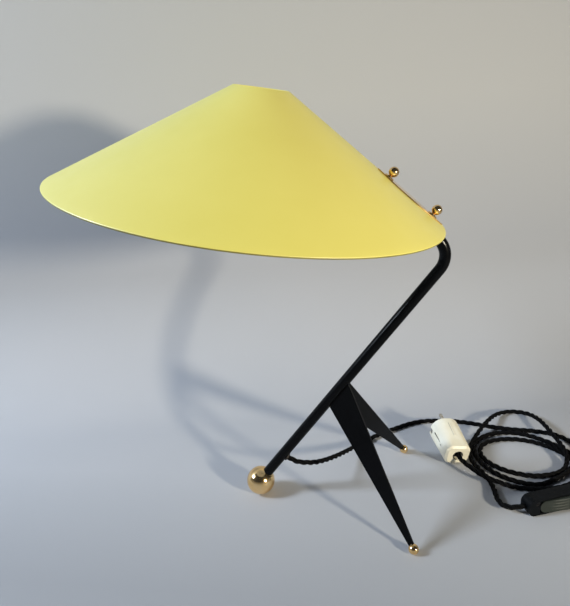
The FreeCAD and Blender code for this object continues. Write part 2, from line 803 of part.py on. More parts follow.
def make_coil():
    corners = coil_corners()
    edges = [Part.LineSegment(coil_start(), corners[0][0]).toShape()]
    for (start, start_dir), (end, end_dir) in zip(corners, corners[1:]):
        edges += biarc(start, start_dir, end, end_dir)
    edges.append(Part.LineSegment(corners[-1][0], coil_end()).toShape())
    path = Part.Wire(edges)
    tube = cord_swept(path, cord_radius, corners[0][1])
    print(f"coil: length {path.Length:.0f}, least gap to itself {least_gap(path):.2f}, "
          f"volume/section*length {tube.Volume / (cord_section(cord_radius) * path.Length):.4f}, "
          f"radii {[round(e.Curve.Radius) for e in edges[1:-1]]}")
    return tube


def least_gap(path):
    """Least clear distance between points of the coil more than half a loop apart."""
    points = path.discretize(240)
    away = len(points) // (2 * coil_loops) - 10
    return min((a - b).Length for i, a in enumerate(points) for b in points[i + away:]) - cord_diameter


# ---------------------------------------------------------------- switch
switch_place = FreeCAD.Placement(switch_middle, FreeCAD.Rotation(V(0, 0, 1), switch_turn))


def switch_block(length, depth_from, depth_to, height, corner):
    """Long rounded block; local X is the switch's length, -Y the rocker's side, Z its height."""
    outline = rounded_rectangle(length, height, corner, 0)
    face = Part.Face(outline)
    block = face.extrude(V(0, 0, depth_to - depth_from))
    block.rotate(V(0, 0, 0), V(1, 0, 0), 90)
    block.translate(V(0, depth_to, 0))
    return block


def cord_hole():
    return Part.makeCylinder(cord_radius + fit, switch_length + 2, V(-switch_length / 2 - 1, 0, 0),
                             V(1, 0, 0))


front_face = -switch_depth / 2
rear_face = switch_depth / 2
split_y = rear_face - switch_split
screw_x = switch_length / 2 - 11.0
screw_z = 5.0
boss_radius = 3.2
screw_radius = 1.5
switch_corner = 8.0


def make_switch_base():
    outer = switch_block(switch_length, split_y + seat / 2, rear_face, switch_height, switch_corner)
    inner = switch_block(switch_length - 4 * switch_wall, split_y, rear_face - switch_wall,
                         switch_height - 2 * switch_wall, switch_corner - switch_wall)
    base = outer.cut(inner)
    for side in (-1, 1):
        boss = Part.makeCylinder(boss_radius, switch_split - switch_wall - seat,
                                 V(side * screw_x, rear_face - switch_wall, screw_z), V(0, -1, 0))
        bore = Part.makeCylinder(screw_radius + fit, switch_split - 2 * switch_wall,
                                 V(side * screw_x, split_y, screw_z), V(0, 1, 0))
        base = base.fuse(boss).cut(bore)
    return placed(base.cut(cord_hole()).removeSplitter(), switch_place)


def make_switch_cover():
    outer = switch_block(switch_length, front_face, split_y - seat / 2, switch_height, switch_corner)
    inner = switch_block(switch_length - 4 * switch_wall, front_face + switch_wall, split_y,
                         switch_height - 2 * switch_wall, switch_corner - switch_wall)
    window = Part.makeBox(rocker_length + 1.6, 2 * switch_wall, rocker_width + 1.0,
                          V(-rocker_length / 2 - 0.8, front_face - 0.5, -rocker_width / 2 - 0.5))
    cover = outer.cut(inner).cut(window).cut(cord_hole())
    for side in (-1, 1):
        boss = Part.makeCylinder(boss_radius, -front_face + split_y - seat,
                                 V(side * screw_x, front_face + 0.01, screw_z), V(0, 1, 0))
        bore = Part.makeCylinder(screw_radius + fit, 30.0, V(side * screw_x, front_face - 1, screw_z),
                                 V(0, 1, 0))
        sink = Part.makeCylinder(2.8, 2.2, V(side * screw_x, front_face - 0.1, screw_z), V(0, 1, 0))
        cover = cover.fuse(boss.common(outer)).cut(bore).cut(sink)
    pin_bore = Part.makeCylinder(rocker_pin_radius + fit, rocker_pin_length + 1.0,
                                 V(0, pivot_y, -rocker_pin_length / 2 - 0.5), V(0, 0, 1))
    for side in (-1, 1):
        lug_z = side * (rocker_width / 2 + 0.5 + 0.75)
        lug = Part.makeBox(6.0, pivot_y + 3.0 - front_face - switch_wall, 1.5,
                           V(-3.0, front_face + switch_wall - 0.2, lug_z - 0.75))
        cover = cover.fuse(lug)
    return placed(cover.cut(pin_bore).removeSplitter(), switch_place)


pivot_y = front_face + 3.6
rocker_pin_length = switch_height - 2.4
rocker_corner = rocker_width / 2 - 1.0
rocker_ribs = 4
rocker_rib_depth = 0.5


def rocker_section():
    """End view of the rocker: ribs that run its whole length, over a plain block."""
    top = front_face - rocker_stand
    half = rocker_width / 2
    pitch = rocker_width / rocker_ribs
    points = [V(0, front_face + rocker_thickness, half), V(0, front_face + rocker_thickness, -half)]
    for rib in range(rocker_ribs):
        low = -half + rib * pitch
        points += [V(0, top + rocker_rib_depth, low + 0.01), V(0, top, low + 0.3 * pitch),
                   V(0, top, low + 0.7 * pitch)]
    points.append(V(0, top + rocker_rib_depth, half))
    return Part.Face(polygon_wire(points))


def make_rocker():
    """Long ribbed rocker with round corners, pressed at one end."""
    half = rocker_length / 2
    top = front_face - rocker_stand
    low = front_face + rocker_thickness - rocker_stand
    points = [V(-half, top + 1.2, 0), V(0, top - 0.2, 0), V(half, top + 1.2, 0), V(half - 1.0, low - 2.4, 0),
              V(4.0, low, 0), V(-4.0, low, 0), V(-half + 1.0, low - 2.4, 0)]
    body = Part.Face(polygon_wire(points)).extrude(V(0, 0, rocker_width))
    body.translate(V(0, 0, -rocker_width / 2))
    ribbed = rocker_section().extrude(V(rocker_length, 0, 0))
    ribbed.translate(V(-half, 0, 0))
    outline = switch_block(rocker_length, top - 1.0, low + 1.0, rocker_width, rocker_corner)
    body = body.common(ribbed).common(outline)
    bore = Part.makeCylinder(rocker_pin_radius + fit, rocker_width + 2, V(0, pivot_y, -rocker_width / 2 - 1),
                             V(0, 0, 1))
    body = body.cut(bore)
    body.rotate(V(0, pivot_y, 0), V(0, 0, 1), -rocker_tilt)
    return placed(body, switch_place)


def make_rocker_pin():
    pin = Part.makeCylinder(rocker_pin_radius, rocker_pin_length, V(0, pivot_y, -rocker_pin_length / 2),
                            V(0, 0, 1))
    return placed(pin, switch_place)


def make_switch_screws():
    screws = []
    for side in (-1, 1):
        start = V(side * screw_x, front_face + 0.3, 5.0)
        head = Part.makeCone(2.6, screw_radius, 1.5, start, V(0, 1, 0))
        shank = Part.makeCylinder(screw_radius, switch_depth - 2 * switch_wall - 1.0, start, V(0, 1, 0))
        slot = Part.makeBox(6.0, 0.6, 0.7, V(side * screw_x - 3.0, front_face + 0.3, 4.65))
        screws.append(placed(head.fuse(shank).cut(slot), switch_place))
    return Part.makeCompound(screws)


def make_switch_contacts():
    """Two terminal blocks and the contact strip that the rocker presses."""
    parts = []
    floor_y = rear_face - switch_wall - seat
    low = -switch_height / 2 + switch_wall + 0.6
    for side in (-1, 1):
        block = Part.makeBox(7.0, 5.0, 5.0, V(side * 15.0 - 3.5, floor_y - 5.0, low))
        bore = Part.makeCylinder(1.3, 8.0, V(side * 15.0 - 4.0, floor_y - 2.5, low + 2.5), V(1, 0, 0))
        parts.append(placed(block.cut(bore), switch_place))
    strip = Part.makeBox(22.0, 0.6, 4.0, V(-11.0, floor_y - 0.6, -2.0))
    parts.append(placed(strip, switch_place))
    return Part.makeCompound(parts)


# ---------------------------------------------------------------- plug
def plug_rotation():
    nose = FreeCAD.Rotation(V(1, 0, 0), plug_nose_up)
    turn = FreeCAD.Rotation(V(0, 0, 1), plug_turn)
    roll = FreeCAD.Rotation(V(0, 1, 0), plug_roll)
    return turn.multiply(nose).multiply(roll)


plug_corner_front = 16.5
plug_corner_rear = 8.0


def along_plug(shape):
    """Local Z of a section becomes the plug's own length, local +Y."""
    copy = shape.copy()
    copy.rotate(V(0, 0, 0), V(1, 0, 0), -90)
    return copy


def plug_outer():
    """Cover and pin carrier as one outline: a rounded block that grows round towards the pins."""
    rear = rounded_rectangle(plug_rear_width, plug_rear_height, plug_corner_rear, 0)
    shoulder = rounded_rectangle(plug_front_width, plug_front_height, plug_corner_front, plug_length)
    return Part.makeLoft([rear, shoulder], True, True)


def plug_cavity():
    rear = rounded_rectangle(plug_rear_width - 2 * plug_wall, plug_rear_height - 2 * plug_wall,
                             plug_corner_rear - plug_wall, 12.0)
    shoulder = rounded_rectangle(plug_front_width - 2 * plug_wall, plug_front_height - 2 * plug_wall,
                                 plug_corner_front - plug_wall, plug_length + 1.0)
    return Part.makeLoft([rear, shoulder], True, True)


def plug_low_point():
    """Height that the turned plug would reach below its own rear centre."""
    body = along_plug(plug_outer().fuse(make_carrier_block()))
    body.Placement = FreeCAD.Placement(V(0, 0, 0), plug_rotation()).multiply(body.Placement)
    return body.optimalBoundingBox(False, False).ZMin


def make_carrier_block():
    block = Part.Face(rounded_rectangle(plug_front_width, plug_front_height, plug_corner_front,
                                        plug_length + seat)).extrude(V(0, 0, plug_carrier))
    return block


plug_rear_z = 0.1 - plug_low_point()
plug_rear = from_shade(229.9, 66.3, plug_rear_z)
plug_place = FreeCAD.Placement(plug_rear, plug_rotation())
groove_width = 1.7
groove_depth = 1.6
groove_length = 25.0
groove_turn = 15.0              # degrees, from the middle of each side
side_hole_radius = 3.4
rib_width = 1.8
rib_height = 0.7
rib_length = 24.0


def side_reach(level):
    """Half width of the plug at a level along its length."""
    share = level / plug_length
    return (plug_rear_width + (plug_front_width - plug_rear_width) * share) / 2


def make_plug_rib():
    """Low straight rib on the top, from the pins' end to mid-length."""
    start = plug_length - rib_length
    rise = (plug_front_height - plug_rear_height) / 2 / plug_length
    low, high = (plug_rear_height / 2 + rise * level for level in (start, plug_length))
    side = [V(0, -low, start), V(0, -low - rib_height, start + rib_height),
            V(0, -high - rib_height, plug_length - rib_height), V(0, -high, plug_length),
            V(0, 0, plug_length), V(0, 0, start)]
    rib = Part.Face(polygon_wire(side)).extrude(V(rib_width, 0, 0))
    rib.translate(V(-rib_width / 2, 0, 0))
    return rib


def make_plug_cover():
    """Rear shell with the cord's hole, a rib along the top and a slotted hole in each side."""
    cover = plug_outer()
    edges = [e for e in cover.Edges if all(abs(v.Point.z) < 1e-6 for v in e.Vertexes)]
    cover = cover.makeChamfer(2.5, edges).fuse(make_plug_rib())
    cover = cover.cut(plug_cavity()).cut(cylinder(plug_hole_radius, 14.0, -1.0))
    for side in (-1, 1):
        groove = Part.makeBox(groove_depth, groove_width, groove_length,
                              V(side * (side_reach(plug_length) - groove_depth / 2) - groove_depth / 2,
                                -groove_width / 2, plug_length - groove_length + 1.0))
        groove_end = plug_length - groove_length
        hole = Part.makeCylinder(side_hole_radius, 2 * plug_wall,
                                 V(side * side_reach(groove_end), 0, groove_end), V(-side, 0, 0))
        for cut in (groove, hole):
            cut.rotate(V(0, 0, 0), V(0, 0, 1), groove_turn)
        cover = cover.cut(groove).cut(hole)
    return placed(along_plug(cover), plug_place)


def make_plug_carrier():
    """Front disc: pins, middle screw and the grooves that the earth strips lie in."""
    carrier = make_carrier_block()
    top = plug_length + seat + plug_carrier
    for side in (-1, 1):
        pin = Part.makeCylinder(pin_root_radius + fit, plug_carrier + 2,
                                V(0, side * pin_spacing / 2, plug_length - 1))
        groove = Part.makeBox(2.4, 7.0, plug_carrier + 2, V(side * (plug_front_width / 2 - 1.2) - 1.2, -3.5,
                                                            plug_length - 1))
        carrier = carrier.cut(pin).cut(groove)
    screw = cylinder(1.6 + fit, plug_carrier + 2, plug_length - 1).fuse(cylinder(3.4, 2.6, top - 2.5))
    return placed(along_plug(carrier.cut(screw)), plug_place)


def make_plug_pins():
    pins = []
    start = plug_length - 8.0
    face = plug_length + seat + plug_carrier
    for side in (-1, 1):
        y = side * pin_spacing / 2
        root = Part.makeCylinder(pin_root_radius, face + 1.0 - start, V(0, y, start))
        body = Part.makeCylinder(pin_radius, pin_length - pin_chamfer - seat, V(0, y, face + seat))
        tip = Part.makeCone(pin_radius, pin_radius - pin_chamfer, pin_chamfer,
                            V(0, y, face + pin_length - pin_chamfer))
        pins.append(placed(along_plug(root.fuse([body, tip])), plug_place))
    return Part.makeCompound(pins)


def make_earth_strips():
    """Sprung strips in the carrier's side grooves, bowed a little outward."""
    strips = []
    start = plug_length + seat + 0.3
    end = plug_length + seat + plug_carrier - 0.3
    for side in (-1, 1):
        root = side * (plug_front_width / 2 - 2.4 + fit + 0.1)
        bow = side * 1.6
        points = [V(root, 0, start), V(root + bow, 0, (start + end) / 2), V(root, 0, end)]
        outer = Part.Arc(*points).toShape()
        chord = Part.LineSegment(points[2], points[0]).toShape()
        face = Part.Face(Part.Wire([outer, chord]))
        strip = face.extrude(V(0, 6.0, 0))
        strip.translate(V(0, -3.0, 0))
        strips.append(placed(along_plug(strip), plug_place))
    return Part.makeCompound(strips)


def make_plug_screw():
    top = plug_length + seat + plug_carrier
    shank = cylinder(1.6, plug_carrier + 12.0, top - 14.0 - 6.5)
    head = cylinder(3.2, 1.6, top - 2.0)
    slot = Part.makeBox(8.0, 0.9, 0.8, V(-4.0, -0.45, top - 1.2))
    return placed(along_plug(head.fuse(shank).cut(slot)), plug_place)


def make_cord_grip():
    """Ring inside the plug that clamps the cord."""
    grip = cylinder(plug_hole_radius - fit, 6.0, 6.0).cut(cylinder(cord_radius + fit, 6.0, 6.0))
    return placed(along_plug(grip), plug_place)


# ---------------------------------------------------------------- nodes
def make_cord_lead():
    return cord_tube("cord_lead", lead_route())


def make_cord_link():
    return cord_tube("cord_link", link_route())


def make_cord_tail():
    return cord_tube("cord_tail", tail_route())


nodes = {
    "stem_tube": make_stem,
    "big_foot_ball": make_foot_ball,
    "stem_stud": make_stem_stud,
    "front_leg": lambda: leg_solid(-1),
    "back_leg": lambda: leg_solid(1),
    "front_foot_ball": lambda: make_foot(-1),
    "back_foot_ball": lambda: make_foot(1),
    "shade": make_shade,
    "clamp_plate": make_clamp_plate,
    "lower_washer": lambda: make_washer(0),
    "upper_washer": lambda: make_washer(1),
    "lower_knob": lambda: make_knob(0),
    "upper_knob": lambda: make_knob(1),
    "lower_post": lambda: make_post(0),
    "upper_post": lambda: make_post(1),
    "holder_nipple": make_nipple,
    "holder_cap": make_holder_cap,
    "holder_body": make_holder_body,
    "holder_insert": make_holder_insert,
    "thread_sleeve": make_thread_sleeve,
    "centre_contact": make_centre_contact,
    "terminal_screws": make_terminal_screws,
    "bulb_cap": make_bulb_cap,
    "bulb_glass": make_bulb_glass,
    "cord_bush": make_bush,
    "inner_flex": make_inner_flex,
    "cord_lead": make_cord_lead,
    "cord_link": make_cord_link,
    "cord_coil": make_coil,
    "cord_tail": make_cord_tail,
    "switch_base": make_switch_base,
    "switch_cover": make_switch_cover,
    "switch_rocker": make_rocker,
    "rocker_pin": make_rocker_pin,
    "switch_screws": make_switch_screws,
    "switch_contacts": make_switch_contacts,
    "plug_cover": make_plug_cover,
    "plug_carrier": make_plug_carrier,
    "plug_pins": make_plug_pins,
    "earth_strips": make_earth_strips,
    "plug_screw": make_plug_screw,
    "cord_grip": make_cord_grip,
}


def main():
    os.makedirs("parts", exist_ok=True)
    for name, maker in nodes.items():
        shape = maker()
        shape.exportStep(f"parts/{name}.step")
        print(f"{name}: {len(shape.Solids)} solid(s), valid {shape.isValid()}, volume {shape.Volume:.1f}")


main()
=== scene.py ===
import json
import math

import bmesh
import bpy
from mathutils import Matrix, Vector


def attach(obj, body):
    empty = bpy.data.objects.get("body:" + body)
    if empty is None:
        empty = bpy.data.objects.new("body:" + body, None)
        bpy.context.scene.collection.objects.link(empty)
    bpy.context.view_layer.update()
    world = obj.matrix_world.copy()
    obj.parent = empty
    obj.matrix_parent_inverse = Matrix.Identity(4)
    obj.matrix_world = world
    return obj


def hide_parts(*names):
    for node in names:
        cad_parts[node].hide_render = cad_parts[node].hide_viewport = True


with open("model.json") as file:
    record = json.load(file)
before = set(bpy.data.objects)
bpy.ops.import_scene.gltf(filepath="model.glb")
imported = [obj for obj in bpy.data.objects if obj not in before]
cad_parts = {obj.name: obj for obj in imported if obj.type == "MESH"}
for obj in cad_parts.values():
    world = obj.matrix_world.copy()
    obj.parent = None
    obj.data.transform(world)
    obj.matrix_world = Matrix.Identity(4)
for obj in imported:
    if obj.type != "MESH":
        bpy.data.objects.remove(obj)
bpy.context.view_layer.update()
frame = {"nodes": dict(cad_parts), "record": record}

# Tripod table lamp. The CAD nodes keep their shapes and get materials here, but for the textile
# cord, built here as three twisted strands, and the shade, a spun sheet with a rolled hem.
# Metres, in the frame of the CAD.

scene = bpy.context.scene
scene.view_settings.view_transform = "Standard"


# ---------------------------------------------------------------- camera
camera_place = (0.119193, -0.593744, 0.458489)
camera_yaw = -0.15496            # radians, like the two below
camera_pitch = 0.33806           # downwards
camera_roll = -0.06272
lens_mm = 37.005
sensor_mm = 36.0


def make_camera():
    yaw, pitch, roll = camera_yaw, camera_pitch, camera_roll
    level = Vector((math.sin(yaw), math.cos(yaw), 0))
    forward = level * math.cos(pitch) - Vector((0, 0, math.sin(pitch)))
    right = Vector((math.cos(yaw), -math.sin(yaw), 0))
    up = right.cross(forward)
    side = right * math.cos(roll) + up * math.sin(roll)
    top = up * math.cos(roll) - right * math.sin(roll)
    data = bpy.data.cameras.new("camera")
    data.sensor_fit = "HORIZONTAL"
    data.sensor_width = sensor_mm
    data.lens = lens_mm
    camera = bpy.data.objects.new("camera", data)
    scene.collection.objects.link(camera)
    place = Matrix((side, top, -forward)).transposed().to_4x4()
    place.translation = Vector(camera_place)
    camera.matrix_world = place
    scene.camera = camera


make_camera()


# ---------------------------------------------------------------- cord
def mm(x, y, z):
    return Vector((x, y, z)) / 1000.0


shade_offset = 3.5               # millimetres, the shade's centre from the origin, towards -X


def from_shade(x, y, z):
    """A point of the cord's route, given from under the shade's centre, as in the CAD."""
    return mm(x - shade_offset, y, z)


lie = 3.4                        # height of the cord's centre where it lies on the floor
high = 11.2                      # and where it passes over itself

switch_turn = math.radians(20.6)
switch_length = 0.078
switch_dir = Vector((math.cos(switch_turn), math.sin(switch_turn), 0))
switch_left = from_shade(291.0, -21.2, 10.05)
switch_right = switch_left + switch_dir * switch_length
plug_dir = Vector((-0.235597, 0.959178, 0.156434))
plug_rear = mm(226.4, 66.3, 14.481)
stem_under = Vector((0.78908, 0, -0.61429))
cord_exit = mm(17.634, 0, 51.979) + stem_under * 0.0009


def lead_points():
    """Lamp to switch."""
    return [
        cord_exit,
        cord_exit + stem_under * 0.010,
        from_shade(41.0, 4, 41.0),
        from_shade(53.9, 13, 35.5),
        from_shade(66.5, 30, 28.5),
        from_shade(80.7, 54, 20.0),
        from_shade(99.3, 92, 7.5),
        from_shade(122, 122, lie),
        from_shade(153, 145.5, lie),
        from_shade(187, 167, lie),
        from_shade(222, 170.5, lie),
        from_shade(256, 166.5, lie),
        from_shade(286, 156, lie),
        from_shade(314, 149.5, lie),
        from_shade(346, 147, lie),
        from_shade(373, 137.5, lie),
        from_shade(390, 112, lie),
        from_shade(397, 80, lie),
        from_shade(396, 50, lie + 0.6),
        from_shade(387, 25, lie + 4),
        switch_right + switch_dir * 0.006,
        switch_right - switch_dir * 0.0078,
    ]


def coil_points():
    """Two loose turns from their near side, clockwise; the right end of each is drawn out."""
    quarters = 8
    steps = 4                                   # control points in each quarter turn
    middle_x, middle_y, slip, widen = 315, 83, 7, 1.02
    depths = (38.7, 41.8, 56.6, 58.0, 63.6)     # half depth at the near, far, near, far and near side
    sides = (52.4, 58.0, 59.6, 67.0)            # half width at the left, right, left and right side
    rounding = (2.0, 2.0, 1.65, 1.4, 2.0, 2.0, 1.6, 1.9)
    points = []
    for step in range(quarters * steps + 1):
        turned = step / steps
        angle = turned * math.pi / 2
        depth = between(depths, turned / 2)
        side = between(sides, (turned - 1) / 2)
        power = 2 / rounding[min(int(turned), quarters - 1)]
        across = -math.copysign(abs(math.sin(angle)) ** power, math.sin(angle))
        along = -math.copysign(abs(math.cos(angle)) ** power, math.cos(angle))
        points.append(from_shade(middle_x + widen * side * across,
                                 middle_y - slip * across + widen * depth * along, lie))
    return points


def between(values, place):
    """The value at a place among evenly spaced values."""
    place = max(0.0, min(len(values) - 1.0, place))
    index = min(int(place), len(values) - 2)
    return values[index] * (1 - place + index) + values[index + 1] * (place - index)


def link_points():
    """Switch to plug: up the coil's left side, one wide loop behind it, the coil, and out in front."""
    return [
        switch_left + switch_dir * 0.0078,
        switch_left - switch_dir * 0.005,
        from_shade(277.0, -23.6, 8.6),
        from_shade(268.0, -18.0, 6.6),
        from_shade(264.6, -4.0, 4.6),
        from_shade(265.5, 15, lie),
        from_shade(262.5, 38, lie),
        from_shade(251.5, 60, lie),
        from_shade(247.2, 83, lie),
        from_shade(252.0, 106, lie + 1.8),
        from_shade(264, 127, lie + 6),
        from_shade(276, 147, high),
        from_shade(289.5, 168, high - 0.4),
        from_shade(300.5, 185, lie + 3),
        from_shade(316, 198, lie),
        from_shade(333, 199.5, lie),
        from_shade(347.5, 189.5, lie + 2),
        from_shade(354.5, 167.5, high - 1),
        from_shade(359.5, 141, high),
        from_shade(364, 113, high),
        from_shade(366.5, 89, high),
        from_shade(365, 74, lie + 3),
        from_shade(358.5, 60.5, lie),
        from_shade(346, 50.5, lie),
        from_shade(330, 45.3, lie),
        *coil_points(),
        from_shade(293.6, 19.5, lie),
        from_shade(281.5, 18.5, lie + 3.6),
        from_shade(269.5, 20, high),
        from_shade(256.5, 27.5, high + 0.3),
        from_shade(245.5, 41, high + 0.8),
        plug_rear - plug_dir * 0.006,
        plug_rear + plug_dir * 0.009,
    ]


def route_line(points):
    """The route's smooth line: points read from its NURBS spline."""
    curve = bpy.data.curves.new("route", "CURVE")
    curve.dimensions = "3D"
    curve.resolution_u = 12
    spline = curve.splines.new("NURBS")
    spline.points.add(len(points) - 1)
    for knot, point in zip(spline.points, points):
        knot.co = (*point, 1.0)
    spline.order_u = 3
    spline.use_endpoint_u = True
    holder = bpy.data.objects.new("route", curve)
    scene.collection.objects.link(holder)
    bpy.context.view_layer.update()
    seen = holder.evaluated_get(bpy.context.evaluated_depsgraph_get())
    mesh = bpy.data.meshes.new_from_object(seen)
    line = [vertex.co.copy() for vertex in mesh.vertices]
    bpy.data.objects.remove(holder)
    bpy.data.meshes.remove(mesh)
    return line


def line_length(line):
    return sum((b - a).length for a, b in zip(line, line[1:]))


def even_steps(line, step):
    """The same line with its points a fixed distance apart."""
    count = max(2, round(line_length(line) / step))
    spacing = line_length(line) / count
    out, travelled, target = [line[0].copy()], 0.0, spacing
    for a, b in zip(line, line[1:]):
        run = (b - a).length
        while run and target <= travelled + run + 1e-12 and len(out) < count:
            out.append(a.lerp(b, (target - travelled) / run))
            target += spacing
        travelled += run
    out.append(line[-1].copy())
    return out


def path_frames(line):
    """Tangent and two steady side directions at each point of a line."""
    frames = []
    side = None
    for index, point in enumerate(line):
        tangent = (line[min(index + 1, len(line) - 1)] - line[max(index - 1, 0)]).normalized()
        if side is None:
            side = tangent.cross(Vector((0, 1, 0)) if abs(tangent.y) < 0.9 else Vector((1, 0, 0)))
        side = (side - tangent * side.dot(tangent)).normalized()
        frames.append((tangent, side, tangent.cross(side)))
    return frames


strands = 3
strand_radius = 0.00146
strand_offset = 0.00173          # a strand's centre from the cord's
strand_pitch = 0.030             # length of one full twist
strand_sides = 10
strand_step = 0.0018
braid_repeats = 6                # of the braid's pattern round a strand


def twisted_cord(name, line):
    """Textile-covered cores twisted round each other along a line, with UVs for the braid."""
    line = even_steps(line, strand_step)
    frames = path_frames(line)
    spacing = line_length(line) / (len(line) - 1)
    verts, faces, loop_uvs = [], [], []
    for strand in range(strands):
        base = len(verts)
        centres = []
        for index, (point, (_, side, other)) in enumerate(zip(line, frames)):
            turn = 2 * math.pi * (index * spacing / strand_pitch + strand / strands)
            centres.append(point + (side * math.cos(turn) + other * math.sin(turn)) * strand_offset)
        for centre, (tangent, side, other) in zip(centres, path_frames(centres)):
            for corner in range(strand_sides):
                angle = 2 * math.pi * corner / strand_sides
                arm = side * math.cos(angle) + other * math.sin(angle)
                verts.append(centre + arm * strand_radius)
        for index in range(len(line) - 1):
            for corner in range(strand_sides):
                following = (corner + 1) % strand_sides
                a, b = base + index * strand_sides + corner, base + index * strand_sides + following
                faces.append((a, b, b + strand_sides, a + strand_sides))
                u0 = corner / strand_sides * braid_repeats
                u1 = (corner + 1) / strand_sides * braid_repeats
                v0, v1 = index * spacing * 1000, (index + 1) * spacing * 1000
                loop_uvs += [(u0, v0), (u1, v0), (u1, v1), (u0, v1)]
        faces.append(tuple(base + corner for corner in reversed(range(strand_sides))))
        loop_uvs += [(0, 0)] * strand_sides
        end = base + (len(line) - 1) * strand_sides
        faces.append(tuple(end + corner for corner in range(strand_sides)))
        loop_uvs += [(0, 0)] * strand_sides
    mesh = bpy.data.meshes.new(name)
    mesh.from_pydata(verts, [], faces)
    layer = mesh.uv_layers.new(name="UVMap")
    for loop, uv in zip(layer.data, loop_uvs):
        loop.uv = uv
    mesh.polygons.foreach_set("use_smooth", [True] * len(mesh.polygons))
    piece = bpy.data.objects.new(name, mesh)
    scene.collection.objects.link(piece)
    return piece


nodes = frame["nodes"]
lead_line = route_line(lead_points())
link_line = route_line(link_points())
lead = twisted_cord("cord_to_switch", lead_line)
link = twisted_cord("cord_to_plug", link_line)
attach(lead, "lamp")
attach(link, "lamp")
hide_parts("cord_lead")
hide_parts("cord_link", "cord_coil", "cord_tail")


# ---------------------------------------------------------------- shade
shade_centre = from_shade(0, 0, 361.793)     # middle of the hem's plane
shade_axis = Vector((0.18395, 0, 0.98294))
shade_across = Vector((0.98294, 0, -0.18395))
columns = 240                    # round the shade
cone_rows = 24                   # down its outside
roll_rows = 18                   # round the rolled hem
shaded_hem_rows = 16                   # of which the last ones, which look down, get painted shade
inside_rows = 12                 # up its inside
sharp_angle = math.radians(35)   # a steeper edge than this is shown sharp
knob_feet = (mm(179.406, 0, 337.604), mm(137.186, 0, 376.491))
knob_axis = Vector((0.67748, 0, 0.735541))
knob_hole_radius = 0.00215
drill_length = 0.008


def shade_profile():
    """Radius and height of the spun sheet in millimetres, once round its section, outside first."""
    rim, top_radius, top_height = 200.0, 27.0, 108.3
    sheet, hem, tuck, soft_edge = 1.0, 1.2, 0.5, 0.35
    inside_start = 0.9           # the inside's lower end, above the hem's plane
    angle = math.atan2(top_height, rim - top_radius)
    normal = Vector((math.sin(angle), math.cos(angle)))
    run = Vector((-math.cos(angle), math.sin(angle)))
    top = Vector((top_radius, top_height))
    centre = Vector((rim - tuck - hem, 0))
    centre.y = (normal.x * rim - hem - normal.x * centre.x) / normal.y
    start = centre + normal * hem
    outside = [top - normal * soft_edge, top - run * soft_edge]
    outside += [top.lerp(start, step / cone_rows) for step in range(1, cone_rows + 1)]
    first = math.atan2(normal.y, normal.x)
    last = math.radians(-200)
    for step in range(1, roll_rows + 1):
        turn = first + (last - first) * step / roll_rows
        outside.append(centre + Vector((math.cos(turn), math.sin(turn))) * hem)
    low = top - run * ((top.y - inside_start) / run.y) - normal * sheet
    high = top - normal * sheet
    inside = [low.lerp(high, step / inside_rows) for step in range(inside_rows)]
    inside += [high - run * soft_edge, high + normal * soft_edge]
    return outside, inside


def make_shade():
    """Spun cone whose edge rolls under, with the two holes for the knobs' screws."""
    outside, inside = shade_profile()
    section = outside + inside
    under = len(outside) - shaded_hem_rows
    verts, faces = [], []
    for column in range(columns):
        turn = 2 * math.pi * column / columns
        arm = shade_across * math.cos(turn) + Vector((0, 1, 0)) * math.sin(turn)
        verts += [shade_centre + (arm * spot.x + shade_axis * spot.y) / 1000 for spot in section]
    count = len(section)
    for column in range(columns):
        here, there = column * count, (column + 1) % columns * count
        for row in range(count):
            below = (row + 1) % count
            faces.append((here + row, here + below, there + below, there + row))
    mesh = bpy.data.meshes.new("shade_sheet")
    mesh.from_pydata(verts, [], faces)
    for index, polygon in enumerate(mesh.polygons):
        row = index % count
        # The roll's rows that look down get slot 2, a dark olive that is painted shade.
        if under <= row < len(outside):
            polygon.material_index = 2
        elif len(outside) <= row < count - 2:
            polygon.material_index = 1
    piece = bpy.data.objects.new("shade_sheet", mesh)
    scene.collection.objects.link(piece)
    for foot in knob_feet:
        drill = bmesh.new()
        place = Matrix.Translation(foot) @ knob_axis.to_track_quat("Z", "Y").to_matrix().to_4x4()
        bmesh.ops.create_cone(drill, cap_ends=True, segments=24, radius1=knob_hole_radius,
                              radius2=knob_hole_radius, depth=drill_length, matrix=place)
        cutter_mesh = bpy.data.meshes.new("drill")
        drill.to_mesh(cutter_mesh)
        drill.free()
        cutter = bpy.data.objects.new("drill", cutter_mesh)
        scene.collection.objects.link(cutter)
        hole = piece.modifiers.new("hole", "BOOLEAN")
        hole.object = cutter
        hole.solver = "EXACT"
        bpy.context.view_layer.update()
        seen = piece.evaluated_get(bpy.context.evaluated_depsgraph_get())
        drilled = bpy.data.meshes.new_from_object(seen)
        piece.modifiers.clear()
        piece.data = drilled
        bpy.data.objects.remove(cutter)
    piece.data.polygons.foreach_set("use_smooth", [True] * len(piece.data.polygons))
    piece.data.set_sharp_from_angle(angle=sharp_angle)
    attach(piece, "lamp")
    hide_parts("shade")
    return piece


shade = make_shade()


